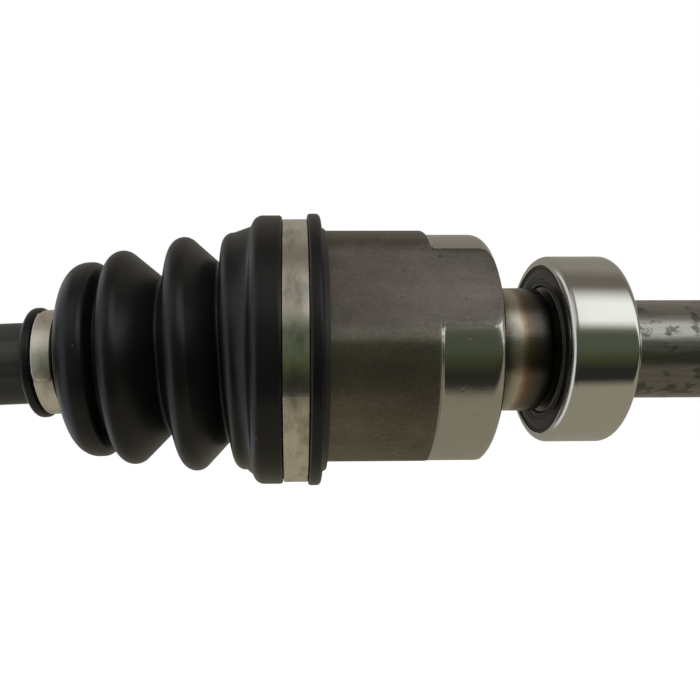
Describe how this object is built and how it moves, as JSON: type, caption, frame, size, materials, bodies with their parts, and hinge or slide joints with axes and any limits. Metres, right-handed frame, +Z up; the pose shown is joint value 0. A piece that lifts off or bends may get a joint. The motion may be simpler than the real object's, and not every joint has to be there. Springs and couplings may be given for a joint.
{
  "type": "drive shaft",
  "caption": "Front drive shaft with a booted plunging tripod joint beside a support bearing, a black bar and a booted ball joint with a splined wheel stub.",
  "frame": {"origin": "centre of the support bearing, on the axis of the shaft", "axes": "+X along the shaft from the wheel to the gearbox, +Z up; the bar hangs 2.05 degrees below the axis"},
  "size_m": [0.753, 0.0922, 0.105],
  "materials": {
    "housing_steel": "forged steel with a thin mottled oxide film",
    "shaft_steel": "ground steel with dark scale stains",
    "bearing_steel": "polished bearing steel",
    "race_steel": "forged and turned steel",
    "inner_steel": "ground steel, greased",
    "band_steel": "rolled stainless band",
    "bar_paint": "black satin paint",
    "boot_rubber": "matt black rubber with a soft sheen",
    "seal_rubber": "black seal rubber",
    "adapter_plastic": "black moulded plastic"
  },
  "bodies": {
    "bearing_seat": {"bearing_outer_ring": "bearing_steel", "bearing_seal_left": "seal_rubber", "bearing_seal_right": "seal_rubber"},
    "ball_set": {"bearing_balls": "inner_steel", "bearing_cage": "inner_steel"},
    "inner_shaft": {"bearing_inner_ring": "bearing_steel", "bearing_collar": "bearing_steel", "tripod_housing": "housing_steel", "stub_shaft": "shaft_steel", "gearbox_circlip": "inner_steel", "boot_adapter": "adapter_plastic", "inner_boot": "boot_rubber", "inner_boot_large_clamp": "band_steel"},
    "roller_carriage": {"roller_1": "inner_steel", "roller_1_needles": "inner_steel"},
    "bar": {"bar": "bar_paint", "spider": "inner_steel", "spider_circlip": "inner_steel", "roller_clips": "inner_steel", "inner_boot_small_clamp": "band_steel", "inner_race": "inner_steel", "inner_race_circlip": "inner_steel", "outer_boot_small_clamp": "band_steel", "outer_boot": "boot_rubber"},
    "roller_2_set": {"roller_2": "inner_steel", "roller_2_needles": "inner_steel"},
    "roller_3_set": {"roller_3": "inner_steel", "roller_3_needles": "inner_steel"},
    "ball_cage": {"ball_cage": "inner_steel"},
    "outer_race": {"outer_race": "race_steel", "wheel_stub": "shaft_steel", "outer_boot_large_clamp": "band_steel"},
    "ball_1": {"ball_1": "inner_steel"},
    "ball_2": {"ball_2": "inner_steel"},
    "ball_3": {"ball_3": "inner_steel"},
    "ball_4": {"ball_4": "inner_steel"},
    "ball_5": {"ball_5": "inner_steel"},
    "ball_6": {"ball_6": "inner_steel"}
  },
  "joints": [
    {"name": "shaft_spin", "type": "hinge", "parent": "bearing_seat", "child": "inner_shaft", "pos_m": [0, 0, 0], "axis": [1, 0, 0], "continuous": true},
    {"name": "ball_set_orbit", "type": "hinge", "parent": "bearing_seat", "child": "ball_set", "pos_m": [0, 0, 0], "axis": [1, 0, 0], "continuous": true},
    {"name": "plunge", "type": "slide", "parent": "inner_shaft", "child": "roller_carriage", "axis": [1, 0, 0], "range_m": [-0.0095, 0.0105], "deforming": ["inner_boot"]},
    {"name": "inner_bend", "type": "hinge", "parent": "roller_carriage", "child": "bar", "pos_m": [-0.071, 0, 0], "axis": [-0.0358, 0, 0.9994], "range_deg": [-18, 18], "deforming": ["inner_boot"]},
    {"name": "roller_2_spin", "type": "hinge", "parent": "bar", "child": "roller_2_set", "pos_m": [-0.07061, -0.01905, -0.01099], "axis": [0.0179, -0.866, -0.4997], "range_deg": [-42, 42]},
    {"name": "roller_3_spin", "type": "hinge", "parent": "bar", "child": "roller_3_set", "pos_m": [-0.07061, 0.01905, -0.01099], "axis": [0.0179, 0.866, -0.4997], "range_deg": [-42, 42]},
    {"name": "outer_bend", "type": "hinge", "parent": "bar", "child": "outer_race", "pos_m": [-0.47074, 0, -0.01431], "axis": [-0.0358, 0, 0.9994], "range_deg": [-42, 42], "deforming": ["outer_boot"]},
    {"name": "cage_bend", "type": "hinge", "parent": "bar", "child": "ball_cage", "pos_m": [-0.47074, 0, -0.01431], "axis": [-0.0358, 0, 0.9994], "range_deg": [-21.1, 21.1]},
    {"name": "ball_1_roll", "type": "hinge", "parent": "outer_race", "child": "ball_1", "pos_m": [-0.46675, 0, -0.01417], "axis": [-0.0358, 0, 0.9994], "range_deg": [-21.1, 21.1]},
    {"name": "ball_2_roll", "type": "hinge", "parent": "outer_race", "child": "ball_2", "pos_m": [-0.46675, 0, -0.01417], "axis": [-0.0179, 0.866, 0.4997], "range_deg": [-10.55, 10.55]},
    {"name": "ball_3_roll", "type": "hinge", "parent": "outer_race", "child": "ball_3", "pos_m": [-0.46675, 0, -0.01417], "axis": [0.0179, 0.866, -0.4997], "range_deg": [-10.55, 10.55]},
    {"name": "ball_4_roll", "type": "hinge", "parent": "outer_race", "child": "ball_4", "pos_m": [-0.46675, 0, -0.01417], "axis": [0.0358, 0, -0.9994], "range_deg": [-21.1, 21.1]},
    {"name": "ball_5_roll", "type": "hinge", "parent": "outer_race", "child": "ball_5", "pos_m": [-0.46675, 0, -0.01417], "axis": [0.0179, -0.866, -0.4997], "range_deg": [-10.55, 10.55]},
    {"name": "ball_6_roll", "type": "hinge", "parent": "outer_race", "child": "ball_6", "pos_m": [-0.46675, 0, -0.01417], "axis": [-0.0179, -0.866, 0.4997], "range_deg": [-10.55, 10.55]}
  ],
  "couplings": [
    {"joint": "ball_set_orbit", "follows": "shaft_spin", "ratio": 0.41814},
    {"joint": "roller_2_spin", "follows": "plunge", "rad_per_m": 64.516},
    {"joint": "roller_3_spin", "follows": "plunge", "rad_per_m": -64.516},
    {"joint": "cage_bend", "follows": "outer_bend", "ratio": 0.5},
    {"joint": "ball_1_roll", "follows": "outer_bend", "ratio": -0.5},
    {"joint": "ball_2_roll", "follows": "outer_bend", "ratio": -0.25},
    {"joint": "ball_3_roll", "follows": "outer_bend", "ratio": 0.25},
    {"joint": "ball_4_roll", "follows": "outer_bend", "ratio": 0.5},
    {"joint": "ball_5_roll", "follows": "outer_bend", "ratio": 0.25},
    {"joint": "ball_6_roll", "follows": "outer_bend", "ratio": -0.25}
  ]
}
